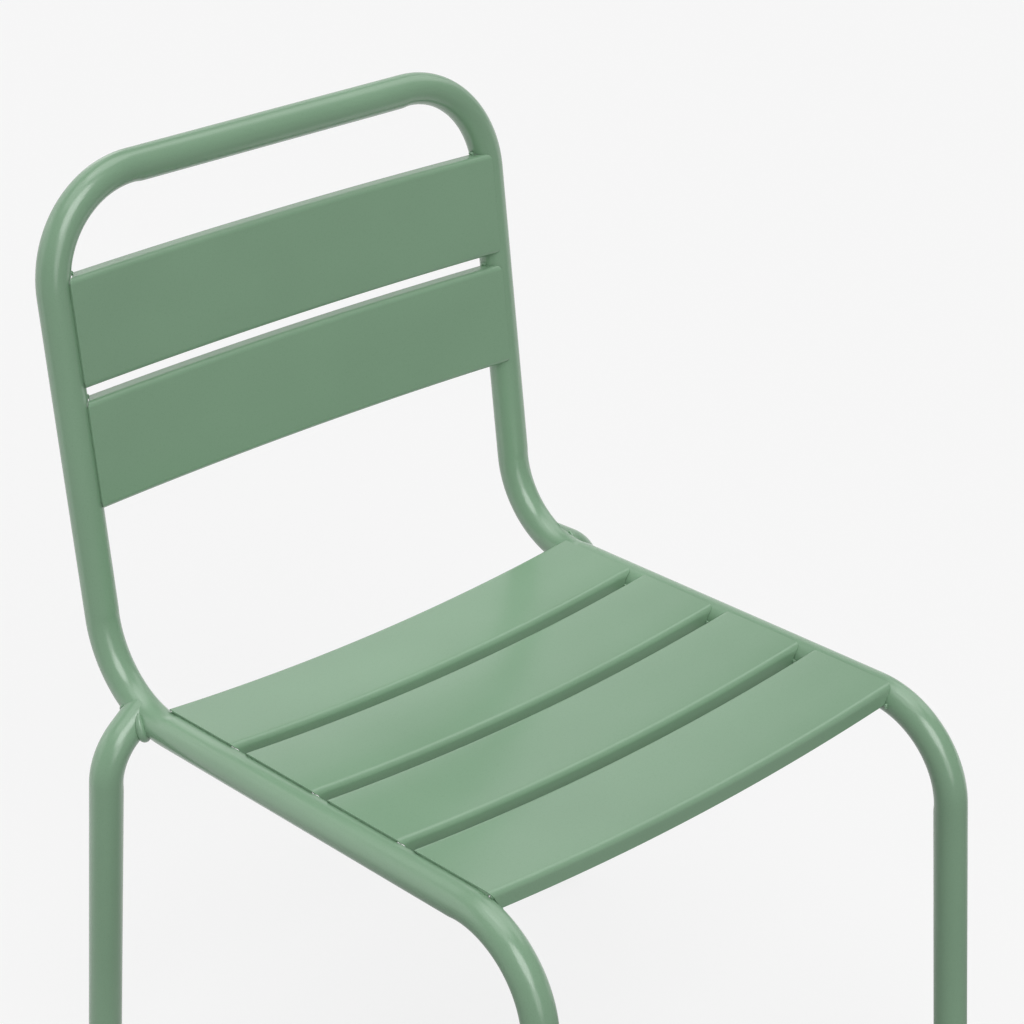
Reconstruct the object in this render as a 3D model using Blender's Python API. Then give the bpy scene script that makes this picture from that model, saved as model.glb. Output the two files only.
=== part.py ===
"""Stacking chair: one bent steel tube, two welded rear legs, six pressed slats, four plastic feet.

The chair stands on z = 0 and faces -Y. Its left side, as seen from the front, is at -X.
All sizes are in metres.
"""
import math

import bmesh
import bpy
from mathutils import Matrix, Vector
from mathutils.geometry import intersect_point_line

# Tube
TUBE_RADIUS = 0.0140
TUBE_WALL = 0.0015
TUBE_SIDES = 20
BEND_STEPS = 8
GAP = 0.00035                      # clearance between pieces that touch

# Main frame: front legs, seat rails, uprights and top rail in one bent tube
SEAT_HEIGHT = 0.415                # floor to the top of the seat at its sides
SEAT_FACE = 0.0149                 # seat face above the rail centreline
RAIL_HEIGHT = SEAT_HEIGHT - SEAT_FACE
FRAME_WIDTH = 0.4574               # between the rail centrelines
RAIL_LENGTH = 0.3521
RAIL_FALL = math.radians(1.0)      # the seat falls to the rear
FRONT_BEND_RADIUS = 0.0799
REAR_BEND_RADIUS = 0.0816
TOP_BEND_RADIUS = 0.0857
BACK_LEAN = math.radians(7.2)
UPRIGHT_LENGTH = 0.2692
FRONT_LEG_SPLAY = 0.031            # outwards, for each unit that a front leg drops
FRONT_LEG_RAKE = 0.061             # forwards, likewise

# Rear legs: outboard of the frame so that chairs stack, and coped onto its rear bends
REAR_LEG_SPLAY = 0.0065            # outwards, for each unit that a rear leg drops
REAR_LEG_RAKE = 0.105              # rearwards, likewise
REAR_LEG_BEND = math.radians(58.0)
REAR_LEG_BEND_RADIUS = 0.0435
REAR_LEG_RUN = 0.0260              # straight from the bend to the frame's centreline
REAR_LEG_TOE = math.radians(11.0)  # the top of a rear leg points a little rearwards
JOINT_ANGLE = math.radians(24.5)   # place of the joint round the frame's rear bend

# Slats: pressed sheet, rolled down along both long edges
SHEET = 0.0012
SLAT_HALF_LENGTH = 0.2223
ROLL_RADIUS = 0.0050               # outer radius of the rolled edges
CORNER_LENGTH = 0.0095             # of the rounded corners, along the slat
FLANGE_DEPTH = 0.0157
FLANGE_HALF_LENGTH = 0.2122        # the flanges stop short of the tube
SLAT_COLUMNS = 10
ROLL_STEPS = 3

SEAT_SLAT_COUNT = 4
SEAT_SLAT_WIDTH = 0.0856
SEAT_SLAT_PITCH = 0.0988
SEAT_FRONT_EDGE = -0.0208          # along the rail from its front end
SEAT_SAG = 0.0108

BACK_SLAT_WIDTH = 0.0896
BACK_SLAT_PITCH = 0.1006
BACK_TOP_EDGE = 0.0150             # above the end of the straight upright
BACK_FACE = 0.0155                 # back face ahead of the upright's centreline
BACK_SAG = 0.0104

# Plastic feet, pushed into the open ends of the legs
FOOT_RADIUS = 0.0145
FOOT_HEAD = 0.0040
FOOT_CHAMFER = 0.0008
PLUG_RADIUS = 0.0119
PLUG_TOP = 0.0200
PLUG_CHAMFER = 0.0010

# Weld beads
BEAD_SIDES = 8
SLAT_BEAD_RADIUS = 0.0019
SLAT_BEAD_ARC = (math.radians(-18.0), math.radians(24.0))
SLAT_BEAD_STEPS = 4
LEG_BEAD_RADIUS = 0.0022
LEG_BEAD_HALF_ARC = math.radians(68.0)
LEG_BEAD_STEPS = 14
BEAD_TIP = 0.35                    # radius of a bead's tips, as a share of its full radius

SIDES = {"left": -1, "right": 1}
UP = Vector((0, 0, 1))


def remove_all_objects():
    for item in list(bpy.data.objects):
        bpy.data.objects.remove(item, do_unlink=True)


def plain_material(name, colour, roughness, metallic=0.0):
    material = bpy.data.materials.new(name)
    material.use_nodes = True
    shader = material.node_tree.nodes["Principled BSDF"]
    shader.inputs["Base Color"].default_value = (*colour, 1)
    shader.inputs["Roughness"].default_value = roughness
    shader.inputs["Metallic"].default_value = metallic
    material.diffuse_color = (*colour, 1)
    return material


def add_object(name, mesh, material, parent, placement=Matrix()):
    if not mesh.materials:
        mesh.materials.append(material)
    item = bpy.data.objects.new(name, mesh)
    bpy.context.collection.objects.link(item)
    item.parent = parent
    item.matrix_local = placement
    return item


def finish_mesh(bm, name):
    """Turn a bmesh into a mesh with outward faces and smooth shading on its round stretches."""
    bmesh.ops.recalc_face_normals(bm, faces=bm.faces)
    mesh = bpy.data.meshes.new(name)
    bm.to_mesh(mesh)
    bm.free()
    mesh.shade_smooth()
    mesh.set_sharp_from_angle(angle=math.radians(40))
    return mesh


# Centrelines -----------------------------------------------------------------------------

def bend(start, heading, new_heading, radius, steps=BEND_STEPS):
    """Points of the arc that leaves start along heading and ends along new_heading."""
    axis = heading.cross(new_heading).normalized()
    centre = start + radius * axis.cross(heading)
    turn = heading.angle(new_heading) / steps
    return [centre + Matrix.Rotation(turn * i, 3, axis) @ (start - centre) for i in range(steps + 1)]


def run_to_level(start, heading, level):
    """The point where a straight line from start reaches a height."""
    return start + heading * ((level - start.z) / heading.z)


def frame_side(side):
    """Named points of one side of the main frame, and its centreline from foot to top rail."""
    rail_heading = Vector((0, math.cos(RAIL_FALL), -math.sin(RAIL_FALL)))
    upright_heading = Vector((0, math.sin(BACK_LEAN), math.cos(BACK_LEAN)))
    leg_heading = Vector((side * FRONT_LEG_SPLAY, -FRONT_LEG_RAKE, -1)).normalized()

    rail_front = Vector((side * FRAME_WIDTH / 2, 0, RAIL_HEIGHT))
    rail_rear = rail_front + RAIL_LENGTH * rail_heading
    front_bend = bend(rail_front, -rail_heading, leg_heading, FRONT_BEND_RADIUS)
    rear_bend = bend(rail_rear, rail_heading, upright_heading, REAR_BEND_RADIUS)
    upright_top = rear_bend[-1] + UPRIGHT_LENGTH * upright_heading
    top_bend = bend(upright_top, upright_heading, Vector((-side, 0, 0)), TOP_BEND_RADIUS)
    foot = run_to_level(front_bend[-1], leg_heading, FOOT_HEAD + GAP)
    return {
        "rail_front": rail_front,
        "rail_heading": rail_heading,
        "upright_heading": upright_heading,
        "upright_top": upright_top,
        "leg_heading": leg_heading,
        "foot": foot,
        "centreline": [foot] + front_bend[::-1] + rear_bend + top_bend,
    }


def rear_leg(side, frame):
    """Centreline of one rear leg, from its foot to the frame's centreline, and its headings."""
    rail_rear = frame["rail_front"] + RAIL_LENGTH * frame["rail_heading"]
    rise = frame["rail_heading"].cross(Vector((-1, 0, 0))).normalized()
    joint = (
        rail_rear
        + REAR_BEND_RADIUS * math.sin(JOINT_ANGLE) * frame["rail_heading"]
        + REAR_BEND_RADIUS * (1 - math.cos(JOINT_ANGLE)) * rise
    )
    along_frame = math.cos(JOINT_ANGLE) * frame["rail_heading"] + math.sin(JOINT_ANGLE) * rise

    leg_up = Vector((-side * REAR_LEG_SPLAY, -REAR_LEG_RAKE, 1)).normalized()
    inward = Vector((-side * math.cos(REAR_LEG_TOE), math.sin(REAR_LEG_TOE), 0))
    inward = (inward - inward.dot(leg_up) * leg_up).normalized()
    top_heading = math.cos(REAR_LEG_BEND) * leg_up + math.sin(REAR_LEG_BEND) * inward

    bend_end = joint - REAR_LEG_RUN * top_heading
    bend_start = bend_end - REAR_LEG_BEND_RADIUS * (
        (1 - math.cos(REAR_LEG_BEND)) * inward + math.sin(REAR_LEG_BEND) * leg_up
    )
    arc = bend(bend_start, leg_up, top_heading, REAR_LEG_BEND_RADIUS)
    foot = run_to_level(bend_start, leg_up, FOOT_HEAD + GAP)
    return {
        "foot": foot,
        "leg_heading": -leg_up,
        "joint": joint,
        "along_frame": along_frame,
        "top_heading": top_heading,
        "centreline": [foot] + arc + [joint],
    }


# Swept solids ----------------------------------------------------------------------------

def carried_frames(path, first_normal):
    """A tangent and a normal at each point of a path, the normal carried along untwisted."""
    tangents = []
    for before, here, after in zip([path[0]] + path, path, path[1:] + [path[-1]]):
        tangents.append(((here - before).normalized() + (after - here).normalized()).normalized())
    normal = (first_normal - first_normal.dot(tangents[0]) * tangents[0]).normalized()
    frames = [(tangents[0], normal)]
    for last, tangent in zip(tangents, tangents[1:]):
        normal = last.rotation_difference(tangent) @ normal
        frames.append((tangent, normal))
    return frames


def add_ring(bm, centre, tangent, normal, radius, sides, level=None):
    """Vertices of one ring; with a level, the ring slides along the tangent to that height."""
    binormal = tangent.cross(normal)
    ring = []
    for k in range(sides):
        angle = 2 * math.pi * k / sides
        point = centre + radius * (math.cos(angle) * normal + math.sin(angle) * binormal)
        if level is not None:
            point += tangent * ((level - point.z) / tangent.z)
        ring.append(bm.verts.new(point))
    return ring


def bridge(bm, rings):
    for ring, following in zip(rings, rings[1:]):
        for k in range(len(ring)):
            m = (k + 1) % len(ring)
            bm.faces.new((ring[k], ring[m], following[m], following[k]))


def swept_tube(name, path, first_normal, cut_ends):
    """A hollow tube with open ends; each end named in cut_ends is cut level, for a foot."""
    frames = carried_frames(path, first_normal)
    levels = [None] * len(path)
    for end in cut_ends:
        levels[end] = path[end].z
    bm = bmesh.new()
    walls = []
    for radius in (TUBE_RADIUS, TUBE_RADIUS - TUBE_WALL):
        walls.append([
            add_ring(bm, point, tangent, normal, radius, TUBE_SIDES, level)
            for point, (tangent, normal), level in zip(path, frames, levels)
        ])
    outer, inner = walls
    bridge(bm, outer + inner[::-1] + outer[:1])
    return finish_mesh(bm, name)


def add_rod(bm, path, first_normal, radii, sides):
    """A solid rod with flat ends and its own radius at each point."""
    frames = carried_frames(path, first_normal)
    rings = [
        add_ring(bm, point, tangent, normal, radius, sides)
        for point, (tangent, normal), radius in zip(path, frames, radii)
    ]
    bridge(bm, rings)
    bm.faces.new(rings[0])
    bm.faces.new(rings[-1])


def bead_mesh(name, path, first_normal, radius):
    """A weld bead: a rod along the path, drawn in at its two tips."""
    radii = [radius] * len(path)
    radii[0] = radii[-1] = BEAD_TIP * radius
    bm = bmesh.new()
    add_rod(bm, path, first_normal, radii, BEAD_SIDES)
    return finish_mesh(bm, name)


# Pieces ----------------------------------------------------------------------------------

def make_foot(name, leg, material, parent):
    """A plug whose sole is flat on the floor and whose stem follows the slope of the leg."""
    slope = leg["leg_heading"] / leg["leg_heading"].z
    sole = leg["foot"] - slope * leg["foot"].z
    profile = [
        (0, FOOT_RADIUS - FOOT_CHAMFER),
        (FOOT_CHAMFER, FOOT_RADIUS),
        (FOOT_HEAD, FOOT_RADIUS),
        (FOOT_HEAD, PLUG_RADIUS),
        (PLUG_TOP - PLUG_CHAMFER, PLUG_RADIUS),
        (PLUG_TOP, PLUG_RADIUS - PLUG_CHAMFER),
    ]
    bm = bmesh.new()
    rings = [
        add_ring(bm, slope * height, UP, Vector((1, 0, 0)), radius, TUBE_SIDES)
        for height, radius in profile
    ]
    bridge(bm, rings)
    bm.faces.new(rings[0])
    bm.faces.new(rings[-1])
    add_object(name, finish_mesh(bm, name), material, parent, Matrix.Translation(sole))


def slat_mesh(name, width, sag):
    """The outer face of a pressed slat: X along it, Y across it, Z = 0 at its two ends.

    Each row is (y, z, half length). The rolled edges end in rounded corners, and the flanges
    stop short, which leaves a notch for the tube.
    """
    flat = width / 2 - ROLL_RADIUS
    half_rows = [(width / 2, -FLANGE_DEPTH, None)]
    for i in range(ROLL_STEPS + 1):
        angle = math.pi / 2 * (1 - i / ROLL_STEPS)
        share = 1 - math.cos(angle)
        reach = SLAT_HALF_LENGTH - CORNER_LENGTH * share
        half_rows.append((flat + ROLL_RADIUS * math.sin(angle), -ROLL_RADIUS * share, reach))
    rows = half_rows + [(-y, z, reach) for y, z, reach in half_rows[::-1]]
    columns = [FLANGE_HALF_LENGTH * (2 * i / SLAT_COLUMNS - 1) for i in range(SLAT_COLUMNS + 1)]

    bm = bmesh.new()
    grid = []
    for y, z, reach in rows:
        line = [None] + columns + [None] if reach is None else [-reach] + columns + [reach]
        grid.append([
            None if x is None else bm.verts.new((x, y, z - sag * (1 - (x / SLAT_HALF_LENGTH) ** 2)))
            for x in line
        ])
    for row, following in zip(grid, grid[1:]):
        for i in range(len(row) - 1):
            corners = (row[i], row[i + 1], following[i + 1], following[i])
            if all(corners):
                bm.faces.new(corners)
    bm.normal_update()
    if sum(face.normal.z for face in bm.faces) < 0:
        bmesh.ops.reverse_faces(bm, faces=bm.faces)
    mesh = bpy.data.meshes.new(name)
    bm.to_mesh(mesh)
    bm.free()
    mesh.shade_smooth()
    return mesh


def make_slat(name, mesh, placement, material, parent):
    slat = add_object(name, mesh, material, parent, placement)
    sheet = slat.modifiers.new("Sheet", "SOLIDIFY")
    sheet.thickness = SHEET
    sheet.offset = -1
    sheet.use_even_offset = True


def crossing(centreline, y):
    """The point where a centreline crosses the plane of one y."""
    for start, end in zip(centreline, centreline[1:]):
        if min(start.y, end.y) <= y <= max(start.y, end.y):
            return start.lerp(end, (y - start.y) / (end.y - start.y))
    raise ValueError("the slat doesn't meet the tube")


def distance_to(centreline, point):
    distances = []
    for start, end in zip(centreline, centreline[1:]):
        share = intersect_point_line(point, start, end)[1]
        distances.append((point - start.lerp(end, min(max(share, 0), 1))).length)
    return min(distances)


def beside_tube(centreline, start, heading, clearance):
    """The first point from start along heading that lies at a distance from a centreline."""
    near, far = 0.0, 4 * clearance
    for _ in range(30):
        middle = (near + far) / 2
        if distance_to(centreline, start + middle * heading) < clearance:
            near = middle
        else:
            far = middle
    return start + far * heading


def make_slat_weld(name, side, edge, width, placement, centreline, material, parent):
    """A bead beside the flange at one long edge (-1 or 1), round the inner side of the tube."""
    to_slat = placement.inverted()
    tube = [to_slat @ point for point in centreline]
    centre = crossing(tube, edge * (width / 2 + GAP + SLAT_BEAD_RADIUS))
    clearance = TUBE_RADIUS + GAP + SLAT_BEAD_RADIUS
    first, last = SLAT_BEAD_ARC
    path = []
    for i in range(SLAT_BEAD_STEPS + 1):
        angle = first + (last - first) * i / SLAT_BEAD_STEPS
        heading = Vector((-side * math.cos(angle), 0, math.sin(angle)))
        path.append(beside_tube(tube, centre, heading, clearance))
    mesh = bead_mesh(name, path, Vector((0, 1, 0)), SLAT_BEAD_RADIUS)
    add_object(name, mesh, material, parent, placement)


def make_leg_weld(name, leg, start_angle, centreline, material, parent):
    """A bead in one of the two grooves between a rear leg and the tube that it is coped onto."""
    clearance = TUBE_RADIUS + GAP + LEG_BEAD_RADIUS
    heading = leg["top_heading"]
    across = (leg["along_frame"] - leg["along_frame"].dot(heading) * heading).normalized()
    sideways = heading.cross(across)
    path = []
    for i in range(LEG_BEAD_STEPS + 1):
        angle = start_angle + LEG_BEAD_HALF_ARC * (2 * i / LEG_BEAD_STEPS - 1)
        start = leg["joint"] + clearance * (math.cos(angle) * across + math.sin(angle) * sideways)
        path.append(beside_tube(centreline, start, -heading, clearance))
    add_object(name, bead_mesh(name, path, heading, LEG_BEAD_RADIUS), material, parent)


def make_rear_leg(name, leg, centreline, material, parent):
    """A rear leg whose top is cut to the round of the frame tube."""
    cutter_name = name + "_cope"
    bm = bmesh.new()
    add_rod(bm, centreline, Vector((1, 0, 0)), [TUBE_RADIUS + GAP] * len(centreline), 2 * TUBE_SIDES)
    cutter = add_object(cutter_name, finish_mesh(bm, cutter_name), material, parent)
    cutter.hide_render = True
    cutter.display_type = "WIRE"

    mesh = swept_tube(name, leg["centreline"], Vector((1, 0, 0)), cut_ends=[0])
    cope = add_object(name, mesh, material, parent).modifiers.new("Cope", "BOOLEAN")
    cope.operation = "DIFFERENCE"
    cope.object = cutter


def seat_slat_placements(frame):
    """Front to rear, the middle of each seat slat at the height of its ends."""
    along = frame["rail_heading"]
    normal = Vector((1, 0, 0)).cross(along)
    axes = Matrix((Vector((1, 0, 0)), along, normal)).transposed().to_4x4()
    middle = Vector((0, frame["rail_front"].y, frame["rail_front"].z))
    for i in range(SEAT_SLAT_COUNT):
        place = SEAT_FRONT_EDGE + SEAT_SLAT_WIDTH / 2 + i * SEAT_SLAT_PITCH
        yield Matrix.Translation(middle + place * along + SEAT_FACE * normal) @ axes


def back_slat_placements(frame):
    """Upper, then lower: the middle of each back slat, with its face to the sitter."""
    along = frame["upright_heading"]
    normal = Vector((1, 0, 0)).cross(along)
    axes = Matrix((Vector((1, 0, 0)), along, normal)).transposed().to_4x4()
    middle = Vector((0, frame["upright_top"].y, frame["upright_top"].z))
    for i in range(2):
        place = BACK_TOP_EDGE - BACK_SLAT_WIDTH / 2 - i * BACK_SLAT_PITCH
        yield Matrix.Translation(middle + place * along + BACK_FACE * normal) @ axes


def centre_over_origin(root):
    """Slide the chair along Y until its overall depth is centred on the origin."""
    bpy.context.view_layer.update()
    depths = [
        (item.matrix_world @ vertex.co).y
        for item in root.children if not item.hide_render
        for vertex in item.data.vertices
    ]
    root.location.y = -(min(depths) + max(depths)) / 2


def make_chair():
    remove_all_objects()
    root = bpy.data.objects.new("chair_origin", None)
    bpy.context.collection.objects.link(root)
    paint = plain_material("powder_coated_steel", (0.25, 0.40, 0.28), 0.38)
    plastic = plain_material("foot_plastic", (0.03, 0.03, 0.03), 0.55)

    frames = {name: frame_side(side) for name, side in SIDES.items()}
    whole = frames["left"]["centreline"] + frames["right"]["centreline"][::-1]
    tube = swept_tube("frame_tube", whole, Vector((1, 0, 0)), cut_ends=[0, -1])
    add_object("frame_tube", tube, paint, root)

    for name, side in SIDES.items():
        frame = frames[name]
        leg = rear_leg(side, frame)
        make_rear_leg("rear_leg_" + name, leg, frame["centreline"], paint, root)
        for seam, angle in (("rear", 0), ("front", math.pi)):
            weld = f"rear_leg_weld_{seam}_{name}"
            make_leg_weld(weld, leg, angle, frame["centreline"], paint, root)
        make_foot("foot_front_" + name, frame, plastic, root)
        make_foot("foot_rear_" + name, leg, plastic, root)

    slats = []
    seat_mesh = slat_mesh("seat_slat", SEAT_SLAT_WIDTH, SEAT_SAG)
    for number, placement in enumerate(seat_slat_placements(frames["left"]), start=1):
        slats.append((f"seat_slat_{number}", seat_mesh, SEAT_SLAT_WIDTH, placement))
    back_mesh = slat_mesh("back_slat", BACK_SLAT_WIDTH, BACK_SAG)
    for place, placement in zip(("upper", "lower"), back_slat_placements(frames["left"])):
        slats.append((f"back_slat_{place}", back_mesh, BACK_SLAT_WIDTH, placement))
    for slat, mesh, width, placement in slats:
        make_slat(slat, mesh, placement, paint, root)
        for name, side in SIDES.items():
            centreline = frames[name]["centreline"]
            for letter, edge in (("a", -1), ("b", 1)):
                weld = f"{slat}_weld_{name}_{letter}"
                make_slat_weld(weld, side, edge, width, placement, centreline, paint, root)

    centre_over_origin(root)


make_chair()
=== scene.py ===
"""Looks of the stacking chair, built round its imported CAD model.

The bent tubes are swept again with finer rings and the squeeze that bending leaves on the
inside of each bend. The pressed slats get smooth rolled edges, and the welds get ripples.
All sizes are in metres; the chair stands on z = 0 and faces -Y.
"""

import math
from collections import namedtuple

import bmesh
import bpy
import numpy as np
from mathutils import Matrix, Vector
from mathutils.geometry import intersect_point_line


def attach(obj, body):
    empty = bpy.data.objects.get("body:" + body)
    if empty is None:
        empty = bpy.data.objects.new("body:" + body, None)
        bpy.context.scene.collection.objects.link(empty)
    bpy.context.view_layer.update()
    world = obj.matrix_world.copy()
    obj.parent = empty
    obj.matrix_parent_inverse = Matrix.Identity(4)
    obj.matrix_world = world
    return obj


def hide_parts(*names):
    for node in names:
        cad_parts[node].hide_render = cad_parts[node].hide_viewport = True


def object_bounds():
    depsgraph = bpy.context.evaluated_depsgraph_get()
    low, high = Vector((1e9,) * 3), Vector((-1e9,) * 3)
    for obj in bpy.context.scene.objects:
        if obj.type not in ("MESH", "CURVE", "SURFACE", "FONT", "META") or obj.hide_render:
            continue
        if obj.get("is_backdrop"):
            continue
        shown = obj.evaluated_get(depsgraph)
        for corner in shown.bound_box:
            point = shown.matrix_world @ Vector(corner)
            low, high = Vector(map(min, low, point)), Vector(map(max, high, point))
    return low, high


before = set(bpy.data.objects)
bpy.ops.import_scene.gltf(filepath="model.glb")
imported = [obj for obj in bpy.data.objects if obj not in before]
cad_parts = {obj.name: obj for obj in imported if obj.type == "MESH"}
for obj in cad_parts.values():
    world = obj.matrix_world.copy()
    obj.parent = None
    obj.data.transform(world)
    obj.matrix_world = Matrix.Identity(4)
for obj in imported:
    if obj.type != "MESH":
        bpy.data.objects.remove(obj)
cad_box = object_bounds()

SIDES = {"left": -1, "right": 1}
UP = Vector((0, 0, 1))
ACROSS = Vector((1, 0, 0))

# Dimensions of the CAD model -------------------------------------------------------------
TUBE_RADIUS = 0.0140
TUBE_WALL = 0.0015
RAIL_FRONT = Vector((0, -0.18871, 0.4001))   # front end of the seat rails, midway between them
FRAME_WIDTH = 0.4574                         # between the rail centrelines
RAIL_LENGTH = 0.3521
RAIL_FALL = math.radians(1.0)
FRONT_BEND_RADIUS = 0.0799
REAR_BEND_RADIUS = 0.0816
TOP_BEND_RADIUS = 0.0857
BACK_LEAN = math.radians(7.2)
UPRIGHT_LENGTH = 0.2692
FRONT_LEG_SPLAY = 0.031                      # outwards, for each unit that a front leg drops
FRONT_LEG_RAKE = 0.061                       # forwards, likewise
LEG_CUT = 0.00435                            # height at which the tubes end, above the floor

REAR_LEG_SPLAY = 0.0065                      # outwards, for each unit that a rear leg drops
REAR_LEG_RAKE = 0.105                        # rearwards, likewise
REAR_LEG_BEND = math.radians(58.0)
REAR_LEG_BEND_RADIUS = 0.0435
REAR_LEG_RUN = 0.0260
REAR_LEG_TOE = math.radians(11.0)
JOINT_ANGLE = math.radians(24.5)             # place of the joint round the frame's rear bend

SHEET = 0.0012
SLAT_HALF_LENGTH = 0.2223
ROLL_RADIUS = 0.0050
FLANGE_DEPTH = 0.0157
SEAT_FACE = 0.0149                           # seat face above the rail centreline
SEAT_SLAT_COUNT = 4
SEAT_SLAT_WIDTH = 0.0856
SEAT_SLAT_PITCH = 0.0988
SEAT_FRONT_EDGE = -0.0208                    # along the rail from its front end
SEAT_SAG = 0.0108
BACK_SLAT_WIDTH = 0.0896
BACK_SLAT_PITCH = 0.1006
BACK_TOP_EDGE = 0.0150                       # above the end of the straight upright
BACK_FACE = 0.0155
BACK_SAG = 0.0104

FOOT_RADIUS = 0.0145
FOOT_HEAD = 0.0040                           # thickness of the head below the tube's cut end
PLUG_RADIUS = 0.0119
PLUG_TOP = 0.0200

# Finer detail of the looks ---------------------------------------------------------------
TUBE_SIDES = 40
BEND_STEPS = 30
BEND_SQUEEZE = 0.0008                        # flattening on the inside of a bend
SQUEEZE_RAMP = 0.0078                        # length over which it fades into the straight
RAMP_STEPS = 4

SLAT_COLUMNS = 48
ROLL_STEPS = 9
FLANGE_STEPS = 4
CORNER_CUT = 0.0034                          # what the rounded corners take off a rolled edge
CORNER_GAP = 0.0012                          # between the end of a flange and the tube
SHEET_EDGE = 0.00025                         # rounding that the coating gives the cut edges

COPE_GAP = 0.0001                            # between a rear leg's top and the frame tube
SOLE_ROUND = 0.0009
HEAD_ROUND = 0.0005
ROUND_STEPS = 4
PLUG_CHAMFER = 0.001

BEAD_SIDES = 14
BEAD_END = math.sqrt(0.02)                   # what is left of a bead's radius at its very ends
BEAD_SINK = 0.0003                           # how far a bead melts into the metal beside it
SLAT_BEAD_RADIUS = 0.0015
RIPPLE_PITCH = 0.0016
RIPPLE_DEPTH = 0.00012

Station = namedtuple("Station", "point tangent inner squeeze")


# Meshes ----------------------------------------------------------------------------------

def smooth_step(share):
    return share * share * (3 - 2 * share)


def add_piece(name, bm, material, replaced, sharp_angle=40):
    """Turn a bmesh into a piece that rides on the chair and stands for CAD nodes."""
    bmesh.ops.recalc_face_normals(bm, faces=bm.faces)
    mesh = bpy.data.meshes.new(name)
    bm.to_mesh(mesh)
    bm.free()
    mesh.shade_smooth()
    mesh.set_sharp_from_angle(angle=math.radians(sharp_angle))
    mesh.materials.append(material)
    piece = bpy.data.objects.new(name, mesh)
    bpy.context.scene.collection.objects.link(piece)
    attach(piece, "root")
    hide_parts(*replaced)
    return piece


def bridge(bm, rings, closed=False):
    following_rings = rings[1:] + rings[:1] if closed else rings[1:]
    for ring, following in zip(rings, following_rings):
        for k in range(len(ring)):
            m = (k + 1) % len(ring)
            bm.faces.new((ring[k], ring[m], following[m], following[k]))


def carried_normals(tangents, first_normal):
    """A normal for each tangent, carried along without twist."""
    normal = (first_normal - first_normal.dot(tangents[0]) * tangents[0]).normalized()
    normals = [normal]
    for last, tangent in zip(tangents, tangents[1:]):
        normal = last.rotation_difference(tangent) @ normal
        normals.append(normal)
    return normals


def sweep_rings(bm, stations, radius, sides, levels=()):
    """Rings along a centreline; the stations in levels are cut level at their own height."""
    rings = []
    normals = carried_normals([s.tangent for s in stations], ACROSS)
    for i, (station, normal) in enumerate(zip(stations, normals)):
        binormal = station.tangent.cross(normal)
        ring = []
        for k in range(sides):
            angle = 2 * math.pi * k / sides
            heading = math.cos(angle) * normal + math.sin(angle) * binormal
            inward = max(heading.dot(station.inner), 0)
            point = station.point + (radius - station.squeeze * inward ** 2) * heading
            if i in levels:
                point += station.tangent * ((station.point.z - point.z) / station.tangent.z)
            ring.append(bm.verts.new(point))
        rings.append(ring)
    return rings


def tube_bmesh(stations, levels):
    """A hollow tube with its wall closed at both ends."""
    bm = bmesh.new()
    outer = sweep_rings(bm, stations, TUBE_RADIUS, TUBE_SIDES, levels)
    inner = sweep_rings(bm, stations, TUBE_RADIUS - TUBE_WALL, TUBE_SIDES, levels)
    bridge(bm, outer + inner[::-1], closed=True)
    return bm


def rod_bmesh(stations, radius):
    bm = bmesh.new()
    rings = sweep_rings(bm, stations, radius, TUBE_SIDES)
    bridge(bm, rings)
    bm.faces.new(rings[0])
    bm.faces.new(rings[-1])
    return bm


# Centrelines -----------------------------------------------------------------------------

def straight(point, tangent):
    return Station(point, tangent, Vector(), 0)


def backwards(stations):
    return [s._replace(tangent=-s.tangent) for s in reversed(stations)]


def bend(start, heading, new_heading, radius):
    """Stations of a bend that leaves start along heading, with the squeeze fading at each end."""
    axis = heading.cross(new_heading).normalized()
    centre = start + radius * axis.cross(heading)
    turn = heading.angle(new_heading)
    arc = []
    for i in range(BEND_STEPS + 1):
        rotation = Matrix.Rotation(turn * i / BEND_STEPS, 3, axis)
        point = centre + rotation @ (start - centre)
        inner = (centre - point).normalized()
        arc.append(Station(point, rotation @ heading, inner, BEND_SQUEEZE))
    before, after = [], []
    for i in range(1, RAMP_STEPS + 1):
        share = i / RAMP_STEPS
        squeeze = BEND_SQUEEZE * (1 - smooth_step(share))
        for ramp, end, side in ((before, arc[0], -1), (after, arc[-1], 1)):
            point = end.point + side * SQUEEZE_RAMP * share * end.tangent
            ramp.append(end._replace(point=point, squeeze=squeeze))
    return before[::-1] + arc + after


def run_to_level(start, heading, level):
    return start + heading * ((level - start.z) / heading.z)


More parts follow.
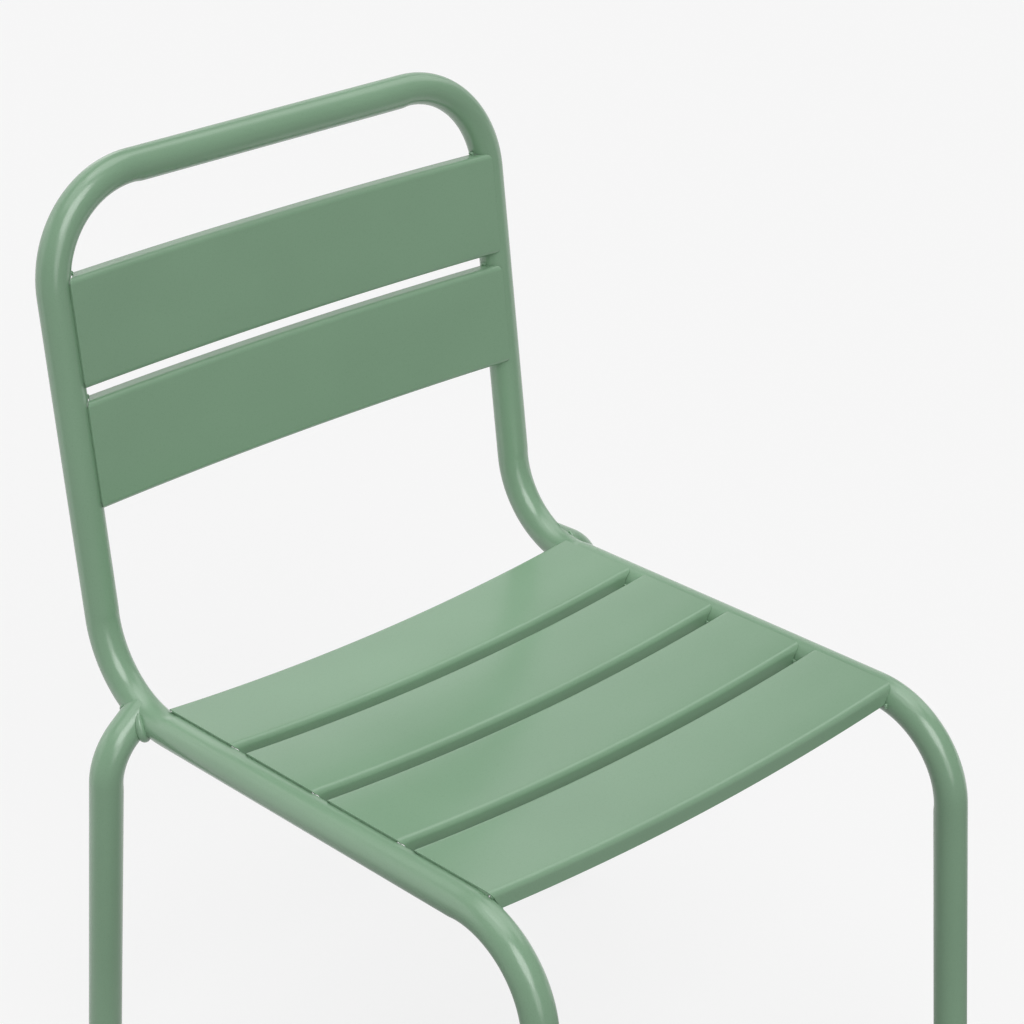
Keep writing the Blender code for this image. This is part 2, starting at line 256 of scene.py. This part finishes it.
def frame_side(side):
    """Named points of one side of the main frame, and its stations from foot to top rail."""
    rail_heading = Vector((0, math.cos(RAIL_FALL), -math.sin(RAIL_FALL)))
    upright_heading = Vector((0, math.sin(BACK_LEAN), math.cos(BACK_LEAN)))
    leg_heading = Vector((side * FRONT_LEG_SPLAY, -FRONT_LEG_RAKE, -1)).normalized()

    rail_front = RAIL_FRONT + side * FRAME_WIDTH / 2 * ACROSS
    rail_rear = rail_front + RAIL_LENGTH * rail_heading
    front_bend = bend(rail_front, -rail_heading, leg_heading, FRONT_BEND_RADIUS)
    rear_bend = bend(rail_rear, rail_heading, upright_heading, REAR_BEND_RADIUS)
    rear_bend_end = rear_bend[-1].point - SQUEEZE_RAMP * upright_heading
    upright_top = rear_bend_end + UPRIGHT_LENGTH * upright_heading
    top_bend = bend(upright_top, upright_heading, -side * ACROSS, TOP_BEND_RADIUS)
    foot = run_to_level(front_bend[-1].point, leg_heading, LEG_CUT)
    return {
        "rail_front": rail_front,
        "rail_rear": rail_rear,
        "rail_heading": rail_heading,
        "upright_heading": upright_heading,
        "upright_top": upright_top,
        "leg_heading": leg_heading,
        "foot": foot,
        "rear_bend": rear_bend,
        "stations": [straight(foot, -leg_heading)] + backwards(front_bend) + rear_bend + top_bend,
    }


def rear_leg(side, chair_side):
    """Stations of one rear leg, from its foot to the frame's centreline, and its headings."""
    rail_heading = chair_side["rail_heading"]
    rise = rail_heading.cross(-ACROSS).normalized()
    joint = (
        chair_side["rail_rear"]
        + REAR_BEND_RADIUS * math.sin(JOINT_ANGLE) * rail_heading
        + REAR_BEND_RADIUS * (1 - math.cos(JOINT_ANGLE)) * rise
    )
    along_frame = math.cos(JOINT_ANGLE) * rail_heading + math.sin(JOINT_ANGLE) * rise

    leg_up = Vector((-side * REAR_LEG_SPLAY, -REAR_LEG_RAKE, 1)).normalized()
    inward = Vector((-side * math.cos(REAR_LEG_TOE), math.sin(REAR_LEG_TOE), 0))
    inward = (inward - inward.dot(leg_up) * leg_up).normalized()
    top_heading = math.cos(REAR_LEG_BEND) * leg_up + math.sin(REAR_LEG_BEND) * inward

    bend_end = joint - REAR_LEG_RUN * top_heading
    bend_start = bend_end - REAR_LEG_BEND_RADIUS * (
        (1 - math.cos(REAR_LEG_BEND)) * inward + math.sin(REAR_LEG_BEND) * leg_up
    )
    arc = bend(bend_start, leg_up, top_heading, REAR_LEG_BEND_RADIUS)
    foot = run_to_level(bend_start, leg_up, LEG_CUT)
    return {
        "foot": foot,
        "leg_heading": -leg_up,
        "joint": joint,
        "along_frame": along_frame,
        "top_heading": top_heading,
        "stations": [straight(foot, leg_up)] + arc + [straight(joint, top_heading)],
    }


# Materials -------------------------------------------------------------------------------

class Nodes:
    """Adds shader nodes and links to one material."""

    def __init__(self, material):
        self.tree = material.node_tree
        self.position = self.add("ShaderNodeTexCoord").outputs["Object"]

    def add(self, kind, **settings):
        node = self.tree.nodes.new(kind)
        for name, value in settings.items():
            setattr(node, name, value)
        return node

    def link(self, output, socket):
        self.tree.links.new(output, socket)

    def noise(self, size, detail=2.0, roughness=0.5):
        """A noise whose features are about size across."""
        node = self.add("ShaderNodeTexNoise")
        node.inputs["Scale"].default_value = 1 / size
        node.inputs["Detail"].default_value = detail
        node.inputs["Roughness"].default_value = roughness
        self.link(self.position, node.inputs["Vector"])
        return node.outputs["Fac"]

    def spread(self, value, low, high, to_low, to_high):
        """The value's range low..high stretched to to_low..to_high, and held there."""
        node = self.add("ShaderNodeMapRange")
        for name, number in (
            ("From Min", low), ("From Max", high), ("To Min", to_low), ("To Max", to_high),
        ):
            node.inputs[name].default_value = number
        self.link(value, node.inputs["Value"])
        return node.outputs["Result"]

    def colours(self, value, stops):
        """A colour ramp with stops of (place, colour)."""
        node = self.add("ShaderNodeValToRGB")
        ramp = node.color_ramp
        while len(ramp.elements) < len(stops):
            ramp.elements.new(0.5)
        for element, (place, colour) in zip(ramp.elements, stops):
            element.position = place
            element.color = (*colour, 1)
        self.link(value, node.inputs["Fac"])
        return node.outputs["Color"]

    def mixed(self, blend, factor, first, second):
        node = self.add("ShaderNodeMix", data_type="RGBA", blend_type=blend)
        if isinstance(factor, float):
            node.inputs[0].default_value = factor
        else:
            self.link(factor, node.inputs[0])
        self.link(first, node.inputs[6])
        self.link(second, node.inputs[7])
        return node.outputs[2]

    def bump(self, height, distance, normal=None):
        node = self.add("ShaderNodeBump")
        node.inputs["Strength"].default_value = 1.0
        node.inputs["Distance"].default_value = distance
        self.link(height, node.inputs["Height"])
        if normal is not None:
            self.link(normal, node.inputs["Normal"])
        return node.outputs["Normal"]


def new_material(name):
    material = bpy.data.materials.new(name)
    material.use_nodes = True
    return material, Nodes(material), material.node_tree.nodes["Principled BSDF"]


def shaded(colour, factor):
    return tuple(channel * factor for channel in colour)


def powder_coat(name, colour, peel_depth=0.000006):
    """Satin polyester powder: soft tone drift, orange peel, fine grain and a few dull patches."""
    material, nodes, shader = new_material(name)
    drift = nodes.colours(nodes.noise(0.11, 1.0), [
        (0.10, shaded(colour, 0.95)), (0.90, shaded(colour, 1.05)),
    ])
    flecks = nodes.colours(nodes.noise(0.0009, 1.0), [
        (0.34, (0.90, 0.91, 0.90)), (0.44, (1.0, 1.0, 1.0)),
    ])
    nodes.link(nodes.mixed("MULTIPLY", 0.55, drift, flecks), shader.inputs["Base Color"])
    satin = nodes.spread(nodes.noise(0.045, 1.0), 0.1, 0.9, 0.19, 0.27)
    nodes.link(satin, shader.inputs["Roughness"])
    shader.inputs["Specular IOR Level"].default_value = 0.9
    peel = nodes.bump(nodes.noise(0.0024, 1.0), peel_depth * 4)
    grain = nodes.bump(nodes.noise(0.00045, 1.0), peel_depth * 0.6, peel)
    nodes.link(grain, shader.inputs["Normal"])
    return material


def moulded_plastic(name, colour):
    """Polyethylene feet: fine spark-eroded grain and scuffs."""
    material, nodes, shader = new_material(name)
    tone = nodes.colours(nodes.noise(0.004, 4.0, 0.65), [
        (0.35, shaded(colour, 0.8)), (0.72, shaded(colour, 1.6)),
    ])
    nodes.link(tone, shader.inputs["Base Color"])
    nodes.link(nodes.spread(nodes.noise(0.003, 3.0), 0.3, 0.7, 0.45, 0.62), shader.inputs["Roughness"])
    nodes.link(nodes.bump(nodes.noise(0.0004, 2.0), 0.00003), shader.inputs["Normal"])
    return material


GREEN = (0.274, 0.452, 0.296)
paint = powder_coat("powder_coat_sage", GREEN)
weld_paint = powder_coat("powder_coat_over_weld", GREEN, peel_depth=0.000012)
foot_plastic = moulded_plastic("foot_plastic_dark", (0.030, 0.033, 0.031))


# Slats -----------------------------------------------------------------------------------

def slat_rows(width):
    """(y, z) of each line along a slat's outer face, from edge to edge."""
    flat = width / 2 - ROLL_RADIUS
    half = [(width / 2, -depth)
            for depth in np.linspace(FLANGE_DEPTH, ROLL_RADIUS, FLANGE_STEPS, endpoint=False)]
    for i in range(ROLL_STEPS + 1):
        angle = math.pi / 2 * (1 - i / ROLL_STEPS)
        half.append((flat + ROLL_RADIUS * math.sin(angle), -ROLL_RADIUS * (1 - math.cos(angle))))
    half.append((flat / 3, 0))
    return half + [(-y, z) for y, z in half[::-1]]


def slat_reach(y, z, tube):
    """Half the length of a slat's line: its corner is rounded, then cut to the tube's round."""
    rounded = SLAT_HALF_LENGTH - CORNER_CUT * min(-z / ROLL_RADIUS, 1)
    centre = crossing(tube, y)
    height = min(z - centre.z, TUBE_RADIUS)
    return min(rounded, centre.x - math.sqrt(TUBE_RADIUS ** 2 - height ** 2) - CORNER_GAP)


def slat_bmesh(width, sag, placement, centreline):
    """A pressed slat with rolled edges, as a surface without thickness."""
    bm = bmesh.new()
    to_slat = placement.inverted()
    tube = [to_slat @ point for point in centreline]
    grid = []
    for y, z in slat_rows(width):
        reach = slat_reach(y, z, tube)
        line = []
        for i in range(SLAT_COLUMNS + 1):
            x = reach * (2 * i / SLAT_COLUMNS - 1)
            bow = sag * (1 - (x / SLAT_HALF_LENGTH) ** 2)
            line.append(bm.verts.new((x, y, z - bow)))
        grid.append(line)
    for line, following in zip(grid, grid[1:]):
        for i in range(SLAT_COLUMNS):
            bm.faces.new((line[i], line[i + 1], following[i + 1], following[i]))
    bm.normal_update()
    if sum(face.normal.z for face in bm.faces) < 0:
        bmesh.ops.reverse_faces(bm, faces=bm.faces)
    bm.transform(placement)
    return bm


def applied(piece):
    """Apply a piece's modifiers to its mesh."""
    depsgraph = bpy.context.evaluated_depsgraph_get()
    mesh = bpy.data.meshes.new_from_object(piece.evaluated_get(depsgraph))
    piece.modifiers.clear()
    piece.data = mesh
    return piece


def make_slat(name, width, sag, placement, centreline):
    slat = add_piece(name + "_pressed", slat_bmesh(width, sag, placement, centreline), paint,
                     [name], sharp_angle=180)
    sheet = slat.modifiers.new("Sheet", "SOLIDIFY")
    sheet.thickness = SHEET
    sheet.offset = -1
    sheet.use_even_offset = True
    edge = slat.modifiers.new("Edge", "BEVEL")
    edge.width = SHEET_EDGE
    edge.segments = 2
    edge.limit_method = "ANGLE"
    edge.angle_limit = math.radians(50)
    edge.harden_normals = True
    applied(slat)


def seat_slat_placements(chair_side):
    """Front to rear, the middle of each seat slat at the height of its ends."""
    along = chair_side["rail_heading"]
    normal = ACROSS.cross(along)
    axes = Matrix((ACROSS, along, normal)).transposed().to_4x4()
    for i in range(SEAT_SLAT_COUNT):
        place = SEAT_FRONT_EDGE + SEAT_SLAT_WIDTH / 2 + i * SEAT_SLAT_PITCH
        yield Matrix.Translation(RAIL_FRONT + place * along + SEAT_FACE * normal) @ axes


def back_slat_placements(chair_side):
    """Upper, then lower: the middle of each back slat, with its face to the sitter."""
    along = chair_side["upright_heading"]
    normal = ACROSS.cross(along)
    axes = Matrix((ACROSS, along, normal)).transposed().to_4x4()
    middle = chair_side["upright_top"].copy()
    middle.x = 0
    for i in range(2):
        place = BACK_TOP_EDGE - BACK_SLAT_WIDTH / 2 - i * BACK_SLAT_PITCH
        yield Matrix.Translation(middle + place * along + BACK_FACE * normal) @ axes


# Welds -----------------------------------------------------------------------------------

HALVINGS = 24


def distance_to(centreline, point):
    distances = []
    for start, end in zip(centreline, centreline[1:]):
        share = intersect_point_line(point, start, end)[1]
        distances.append((point - start.lerp(end, min(max(share, 0), 1))).length)
    return min(distances)


def beside_tube(centreline, start, heading, clearance):
    """The first point from start along heading that lies at a distance from a centreline."""
    near, far = 0.0, 4 * clearance
    for _ in range(HALVINGS):
        middle = (near + far) / 2
        if distance_to(centreline, start + middle * heading) < clearance:
            near = middle
        else:
            far = middle
    return start + far * heading


def add_bead(bm, path, first_normal, radii, tips):
    """A weld bead along a path: rippled, and drawn in over a share of its length at both tips."""
    steps = list(zip([path[0]] + path, path, path[1:] + [path[-1]]))
    tangents = [(after - before).normalized() for before, _, after in steps]
    rings, run = [], 0.0
    for i, (tangent, normal) in enumerate(zip(tangents, carried_normals(tangents, first_normal))):
        run += (path[i] - path[i - 1]).length if i else 0
        share = i / (len(path) - 1)
        tip = min(share, 1 - share) / tips
        taper = max(math.sqrt(1 - (1 - min(tip, 1)) ** 2), BEAD_END)
        ripple = RIPPLE_DEPTH * math.cos(2 * math.pi * run / RIPPLE_PITCH)
        binormal = tangent.cross(normal)
        rings.append([
            bm.verts.new(path[i] + (radii[i] + ripple) * taper * (
                math.cos(angle) * normal + math.sin(angle) * binormal))
            for angle in (2 * math.pi * k / BEAD_SIDES for k in range(BEAD_SIDES))
        ])
    bridge(bm, rings)
    bm.faces.new(rings[0])
    bm.faces.new(rings[-1])


LEG_BEADS = (                                # seam, angle, half arc, radius, sink
    ("rear", 0.0, math.radians(38), 0.0014, 0.0011),
    ("front", math.pi, math.radians(66), 0.0044, 0.0027),
)
LEG_BEAD_STEPS = 72
LEG_BEAD_TIPS = 0.5                          # share of a bead's length that each tip takes


def make_leg_welds(name, leg, centreline):
    """Beads in the two grooves between a rear leg and the tube that it is coped onto."""
    heading = leg["top_heading"]
    across = (leg["along_frame"] - leg["along_frame"].dot(heading) * heading).normalized()
    sideways = heading.cross(across)
    bm = bmesh.new()
    replaced = []
    for seam, middle, half_arc, radius, sink in LEG_BEADS:
        clearance = TUBE_RADIUS + radius - sink
        path = []
        for i in range(LEG_BEAD_STEPS + 1):
            angle = middle + half_arc * (2 * i / LEG_BEAD_STEPS - 1)
            start = leg["joint"] + clearance * (math.cos(angle) * across + math.sin(angle) * sideways)
            path.append(beside_tube(centreline, start, -heading, clearance))
        add_bead(bm, path, heading, [radius] * len(path), LEG_BEAD_TIPS)
        replaced.append(f"rear_leg_weld_{seam}_{name}")
    add_piece(f"rear_leg_{name}_weld_beads", bm, weld_paint, replaced)


OUTER_BEAD_ARC = (math.radians(-8.0), math.radians(12.0))
INNER_BEAD_ARC = (math.radians(-8.0), math.radians(60.0))
SLAT_BEAD_STEPS = 28
SLAT_BEAD_TIPS = 0.22
END_BEAD_STEPS = 40
END_BEAD_TIPS = 0.03
END_BEAD_X = 0.2204                          # just inside the slat's end
END_BEAD_INSET = 0.0035                      # from the slat's outer faces to the bead's tips
WIDE_GAP = 0.0035                            # under a slat's end, where the corner is filled too


def add_flange_bead(bm, placement, tube, side, y, arc):
    """A bead over an arc of the tube, beside a flange at one y of the slat."""
    centre = crossing(tube, y)
    path = []
    for angle in np.linspace(*arc, SLAT_BEAD_STEPS + 1):
        heading = Vector((-side * math.cos(angle), 0, math.sin(angle)))
        path.append(placement @ beside_tube(
            tube, centre, heading, TUBE_RADIUS + SLAT_BEAD_RADIUS - BEAD_SINK))
    add_bead(bm, path, placement.to_3x3() @ Vector((0, 1, 0)),
             [SLAT_BEAD_RADIUS] * len(path), SLAT_BEAD_TIPS)


def gap_under_end(tube, y):
    """Height of the tube below the sheet, at one y near a slat's end."""
    centre = crossing(tube, y)
    inward = abs(centre.x) - END_BEAD_X
    return -SHEET - centre.z - math.sqrt(TUBE_RADIUS ** 2 - inward ** 2)


def make_slat_welds(slat, width, placement, centrelines):
    """A bead beside the flange at each corner, and a long one under each end of the slat."""
    outer = width / 2 + SLAT_BEAD_RADIUS - BEAD_SINK
    inner = width / 2 - SHEET - SLAT_BEAD_RADIUS + BEAD_SINK
    to_slat = placement.inverted()
    bm = bmesh.new()
    replaced = []
    for name, side in SIDES.items():
        tube = [to_slat @ point for point in centrelines[name]]
        for letter, edge in (("a", -1), ("b", 1)):
            add_flange_bead(bm, placement, tube, side, edge * outer, OUTER_BEAD_ARC)
            if gap_under_end(tube, edge * inner) > WIDE_GAP:
                add_flange_bead(bm, placement, tube, side, edge * inner, INNER_BEAD_ARC)
            replaced.append(f"{slat}_weld_{name}_{letter}")

        path, radii = [], []
        for share in np.linspace(-1, 1, END_BEAD_STEPS + 1):
            y = share * (width / 2 - END_BEAD_INSET)
            gap = gap_under_end(tube, y)
            path.append(placement @ Vector((side * END_BEAD_X, y, -SHEET - gap / 2)))
            radii.append(gap / 2 + BEAD_SINK)
        add_bead(bm, path, placement.to_3x3() @ UP, radii, END_BEAD_TIPS)
    add_piece(slat + "_weld_beads", bm, weld_paint, replaced)


def crossing(centreline, y):
    """The point where a centreline crosses the plane of one y."""
    for start, end in zip(centreline, centreline[1:]):
        if min(start.y, end.y) <= y <= max(start.y, end.y):
            return start.lerp(end, (y - start.y) / (end.y - start.y))
    raise ValueError("the slat doesn't meet the tube")


# Tubes and feet --------------------------------------------------------------------------

def make_rear_leg(name, leg, chair_side):
    """A rear leg whose top is cut to the round of the frame tube."""
    cutter_mesh = bpy.data.meshes.new("cope")
    bm = rod_bmesh(chair_side["rear_bend"], TUBE_RADIUS + COPE_GAP)
    bmesh.ops.recalc_face_normals(bm, faces=bm.faces)
    bm.to_mesh(cutter_mesh)
    bm.free()
    cutter = bpy.data.objects.new("cope", cutter_mesh)
    bpy.context.scene.collection.objects.link(cutter)
    piece = add_piece(f"rear_leg_{name}_tube", tube_bmesh(leg["stations"], levels=[0]), paint,
                      [f"rear_leg_{name}"])
    cope = piece.modifiers.new("Cope", "BOOLEAN")
    cope.operation = "DIFFERENCE"
    cope.object = cutter
    applied(piece)
    bpy.data.objects.remove(cutter)


def make_foot(name, leg):
    """A plug with rounded rims; its sole is flat and its stem follows the slope of the leg."""
    slope = leg["leg_heading"] / leg["leg_heading"].z
    sole = leg["foot"] - slope * leg["foot"].z
    profile = []
    for level, rounding, first in (
        (SOLE_ROUND, SOLE_ROUND, -90),
        (FOOT_HEAD - HEAD_ROUND, HEAD_ROUND, 0),
    ):
        for i in range(ROUND_STEPS + 1):
            angle = math.radians(first + 90 * i / ROUND_STEPS)
            profile.append((level + rounding * math.sin(angle),
                            FOOT_RADIUS - rounding * (1 - math.cos(angle))))
    profile += [(FOOT_HEAD, PLUG_RADIUS), (PLUG_TOP - PLUG_CHAMFER, PLUG_RADIUS),
                (PLUG_TOP, PLUG_RADIUS - PLUG_CHAMFER)]
    bm = bmesh.new()
    rings = []
    for height, radius in profile:
        centre = sole + slope * height
        rings.append([
            bm.verts.new(centre + radius * Vector((math.cos(a), math.sin(a), 0)))
            for a in (2 * math.pi * k / TUBE_SIDES for k in range(TUBE_SIDES))
        ])
    bridge(bm, rings)
    bm.faces.new(rings[0])
    bm.faces.new(rings[-1])
    add_piece(name + "_moulded", bm, foot_plastic, [name])


# Chair -----------------------------------------------------------------------------------

sides = {name: frame_side(side) for name, side in SIDES.items()}
whole = sides["left"]["stations"] + backwards(sides["right"]["stations"])
add_piece("frame_tube_bent", tube_bmesh(whole, levels=[0, len(whole) - 1]), paint,
          ["frame_tube"])
centrelines = {name: [s.point for s in chair_side["stations"]] for name, chair_side in sides.items()}

for name, side in SIDES.items():
    leg = rear_leg(side, sides[name])
    make_rear_leg(name, leg, sides[name])
    make_leg_welds(name, leg, centrelines[name])
    make_foot("foot_front_" + name, sides[name])
    make_foot("foot_rear_" + name, leg)

slats = [
    (f"seat_slat_{number}", SEAT_SLAT_WIDTH, SEAT_SAG, placement)
    for number, placement in enumerate(seat_slat_placements(sides["left"]), start=1)
]
slats += [
    (f"back_slat_{place}", BACK_SLAT_WIDTH, BACK_SAG, placement)
    for place, placement in zip(("upper", "lower"), back_slat_placements(sides["left"]))
]
for name, width, sag, placement in slats:
    make_slat(name, width, sag, placement, centrelines["right"])
    make_slat_welds(name, width, placement, centrelines)


# Studio ----------------------------------------------------------------------------------

FLOOR_RADIUS = 40.0
FLOOR_GREY = 0.14
FLOOR_GLOW = 0.11                            # light that the floor itself gives off
SEEN_GLOW = 0.80                             # the same, as the camera sees it
BACKDROP_GLOW = 0.66                         # the far floor's extra light, seen in gloss only
BACKDROP_AZIMUTH = 152.0
BACKDROP_EDGE = (-0.10, 0.25)                # distance that way over which it comes up
CEILING = 0.12                               # the even light from all round
BACKGROUND = 0.92                            # what the camera sees above the horizon
SOFTBOXES = (                                # name, azimuth, elevation, spread, strength
    ("softbox_overhead", 90, 78, 40, 0.56),
    ("softbox_overhead_left", 270, 74, 40, 0.38),
    ("softbox_right", 95, 40, 40, 0.36),
    ("softbox_right_low", 102, 5, 34, 0.14),
    ("softbox_back", 180, 22, 60, 0.64),
    ("softbox_back_right", 140, 14, 44, 0.28),
    ("softbox_back_left", 225, 14, 44, 0.30),
    ("softbox_front", 342, 14, 30, 0.32),
    ("softbox_front_high", 338, 44, 38, 1.15),
)
SUN_DISTANCE = 5.0                           # a sun shines the same from anywhere
LAMP_AZIMUTH = 262.0
LAMP_DISTANCE = 1.35
LAMP_HEIGHT = 0.40
LAMP_SIZE = 0.8
LAMP_WATTS = 1.3
LAMP_AIM = Vector((0, 0, 0.36))


def direction(azimuth, elevation):
    """The way out from the chair; an azimuth of 0 is in front of it, 90 at +X."""
    turn, rise = math.radians(azimuth), math.radians(elevation)
    return Vector((
        math.sin(turn) * math.cos(rise), -math.cos(turn) * math.cos(rise), math.sin(rise),
    ))


def make_floor():
    """A pale floor like a light table: bright to the camera, and in the paint from the far side."""
    bm = bmesh.new()
    bmesh.ops.create_circle(bm, cap_ends=True, segments=96, radius=FLOOR_RADIUS)
    mesh = bpy.data.meshes.new("floor")
    bm.to_mesh(mesh)
    bm.free()
    material, nodes, shader = new_material("floor_pale")
    shader.inputs["Base Color"].default_value = (FLOOR_GREY, FLOOR_GREY, FLOOR_GREY, 1)
    shader.inputs["Roughness"].default_value = 1.0
    shader.inputs["Specular IOR Level"].default_value = 0.0
    shader.inputs["Emission Color"].default_value = (1, 1, 1, 1)
    ray = nodes.add("ShaderNodeLightPath").outputs
    far = nodes.add("ShaderNodeVectorMath", operation="DOT_PRODUCT")
    nodes.link(nodes.position, far.inputs[0])
    far.inputs[1].default_value = direction(BACKDROP_AZIMUTH, 0)
    glow = nodes.add("ShaderNodeMath", operation="MULTIPLY_ADD")
    nodes.link(ray["Is Glossy Ray"], glow.inputs[0])
    nodes.link(nodes.spread(far.outputs["Value"], *BACKDROP_EDGE, 0, BACKDROP_GLOW), glow.inputs[1])
    nodes.link(nodes.spread(ray["Is Camera Ray"], 0, 1, FLOOR_GLOW, SEEN_GLOW), glow.inputs[2])
    nodes.link(glow.outputs["Value"], shader.inputs["Emission Strength"])
    mesh.materials.append(material)
    floor = bpy.data.objects.new("floor", mesh)
    bpy.context.scene.collection.objects.link(floor)
    floor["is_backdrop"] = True


def add_to_scene(name, data, location, back):
    """Places a camera or lamp, which looks along -back."""
    item = bpy.data.objects.new(name, data)
    item.location = location
    item.rotation_euler = back.to_track_quat("Z", "Y").to_euler()
    bpy.context.scene.collection.objects.link(item)
    return item


def make_light():
    """Large softboxes far off, even light all round, and a weak lamp close by on the left."""
    for name, azimuth, elevation, spread, strength in SOFTBOXES:
        light = bpy.data.lights.new(name, "SUN")
        light.angle = math.radians(spread)
        light.energy = strength
        back = direction(azimuth, elevation)
        add_to_scene(name, light, back * SUN_DISTANCE, back)

    light = bpy.data.lights.new("lamp_left", "AREA")
    light.shape = "DISK"
    light.size = LAMP_SIZE
    light.energy = LAMP_WATTS
    location = direction(LAMP_AZIMUTH, 0) * LAMP_DISTANCE + UP * LAMP_HEIGHT
    lamp = add_to_scene("lamp_left", light, location, location - LAMP_AIM)
    lamp.visible_camera = False
    lamp.visible_glossy = False

    world = bpy.data.worlds.new("studio")
    world.use_nodes = True
    nodes = world.node_tree.nodes
    nodes["Background"].inputs["Color"].default_value = (1, 1, 1, 1)
    seen = nodes.new("ShaderNodeMapRange")
    seen.inputs["To Min"].default_value = CEILING
    seen.inputs["To Max"].default_value = BACKGROUND
    world.node_tree.links.new(
        nodes.new("ShaderNodeLightPath").outputs["Is Camera Ray"], seen.inputs["Value"])
    world.node_tree.links.new(seen.outputs["Result"], nodes["Background"].inputs["Strength"])
    bpy.context.scene.world = world


CAMERA_TARGET = Vector((-0.0237, -0.0204, 0.5851))
CAMERA_AZIMUTH = -43.326
CAMERA_ELEVATION = 25.801
CAMERA_DISTANCE = 2.14082
CAMERA_LENS = 97.23                          # millimetres, on a sensor 36 mm wide


def make_camera():
    camera = bpy.data.cameras.new("camera")
    camera.lens = CAMERA_LENS
    camera.sensor_width = 36.0
    back = direction(CAMERA_AZIMUTH, CAMERA_ELEVATION)
    bpy.context.scene.camera = add_to_scene(
        "camera", camera, CAMERA_TARGET + CAMERA_DISTANCE * back, back)


make_floor()
make_light()
make_camera()
bpy.context.scene.view_settings.view_transform = "Standard"

({name: [list(corner) for corner in box]
     for name, box in (("cad", cad_box), ("visual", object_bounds()))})
